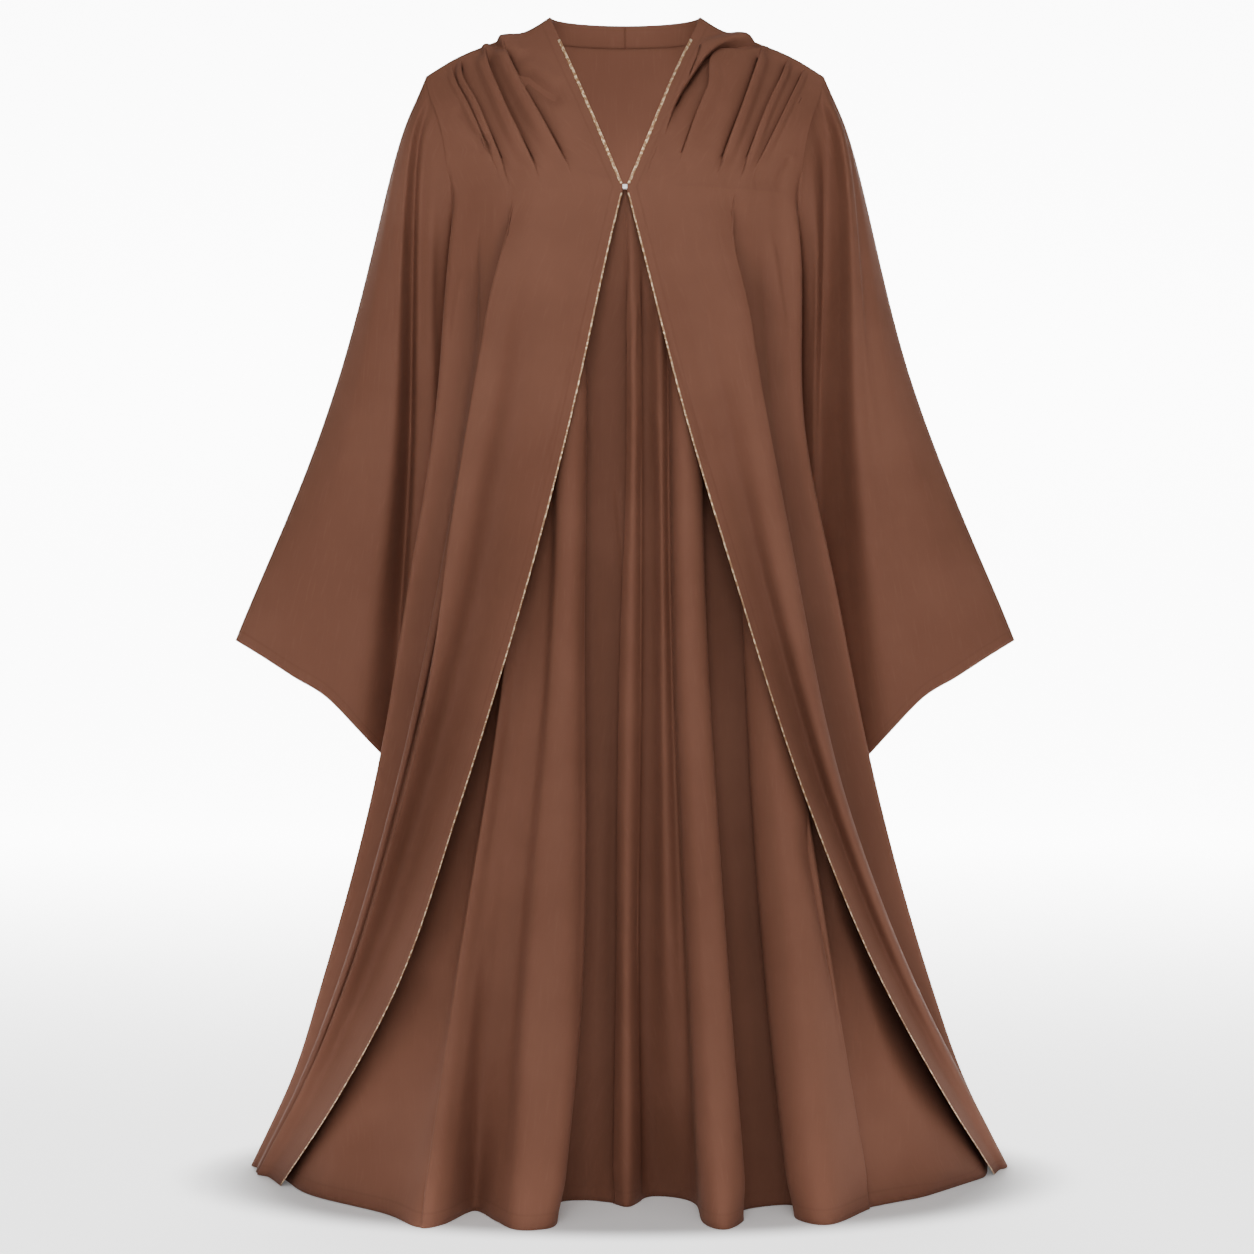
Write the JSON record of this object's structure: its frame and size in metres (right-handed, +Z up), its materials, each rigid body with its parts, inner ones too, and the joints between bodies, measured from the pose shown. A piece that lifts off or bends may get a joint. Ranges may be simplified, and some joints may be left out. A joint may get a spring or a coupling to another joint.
{
  "type": "cape abaya",
  "caption": "Floor-length cape abaya in plain crepe, worn form: closed inner front under two pleated cape fronts that hang open from a clasp, V neck with braid trim, wide wing sleeves.",
  "frame": {"origin": "middle of the neck opening, level with the highest point of the shoulder seams, where the wearer's shoulders hold the garment up", "axes": "+Z up, the front faces -Y, +X is the wearer's left"},
  "size_m": [0.9439, 0.5972, 1.4068],
  "materials": {
    "cloth": "plain crepe with a soft satin sheen",
    "trim": "narrow braid of pale gold metallic thread",
    "clasp_stone": "clear polished stone in a white setting"
  },
  "bodies": {
    "root": {"back_yoke": "cloth", "back": "cloth", "cape_front_right": "cloth", "cape_front_left": "cloth", "inner_yoke_right": "cloth", "inner_yoke_left": "cloth", "inner_front_right": "cloth", "inner_front_left": "cloth", "sleeve_front_right": "cloth", "sleeve_front_left": "cloth", "sleeve_back_right": "cloth", "sleeve_back_left": "cloth", "neck_facing_right": "cloth", "neck_facing_left": "cloth", "neck_trim_right": "trim", "neck_trim_left": "trim", "edge_trim_right": "trim", "edge_trim_left": "trim", "clasp": "clasp_stone"}
  },
  "joints": []
}
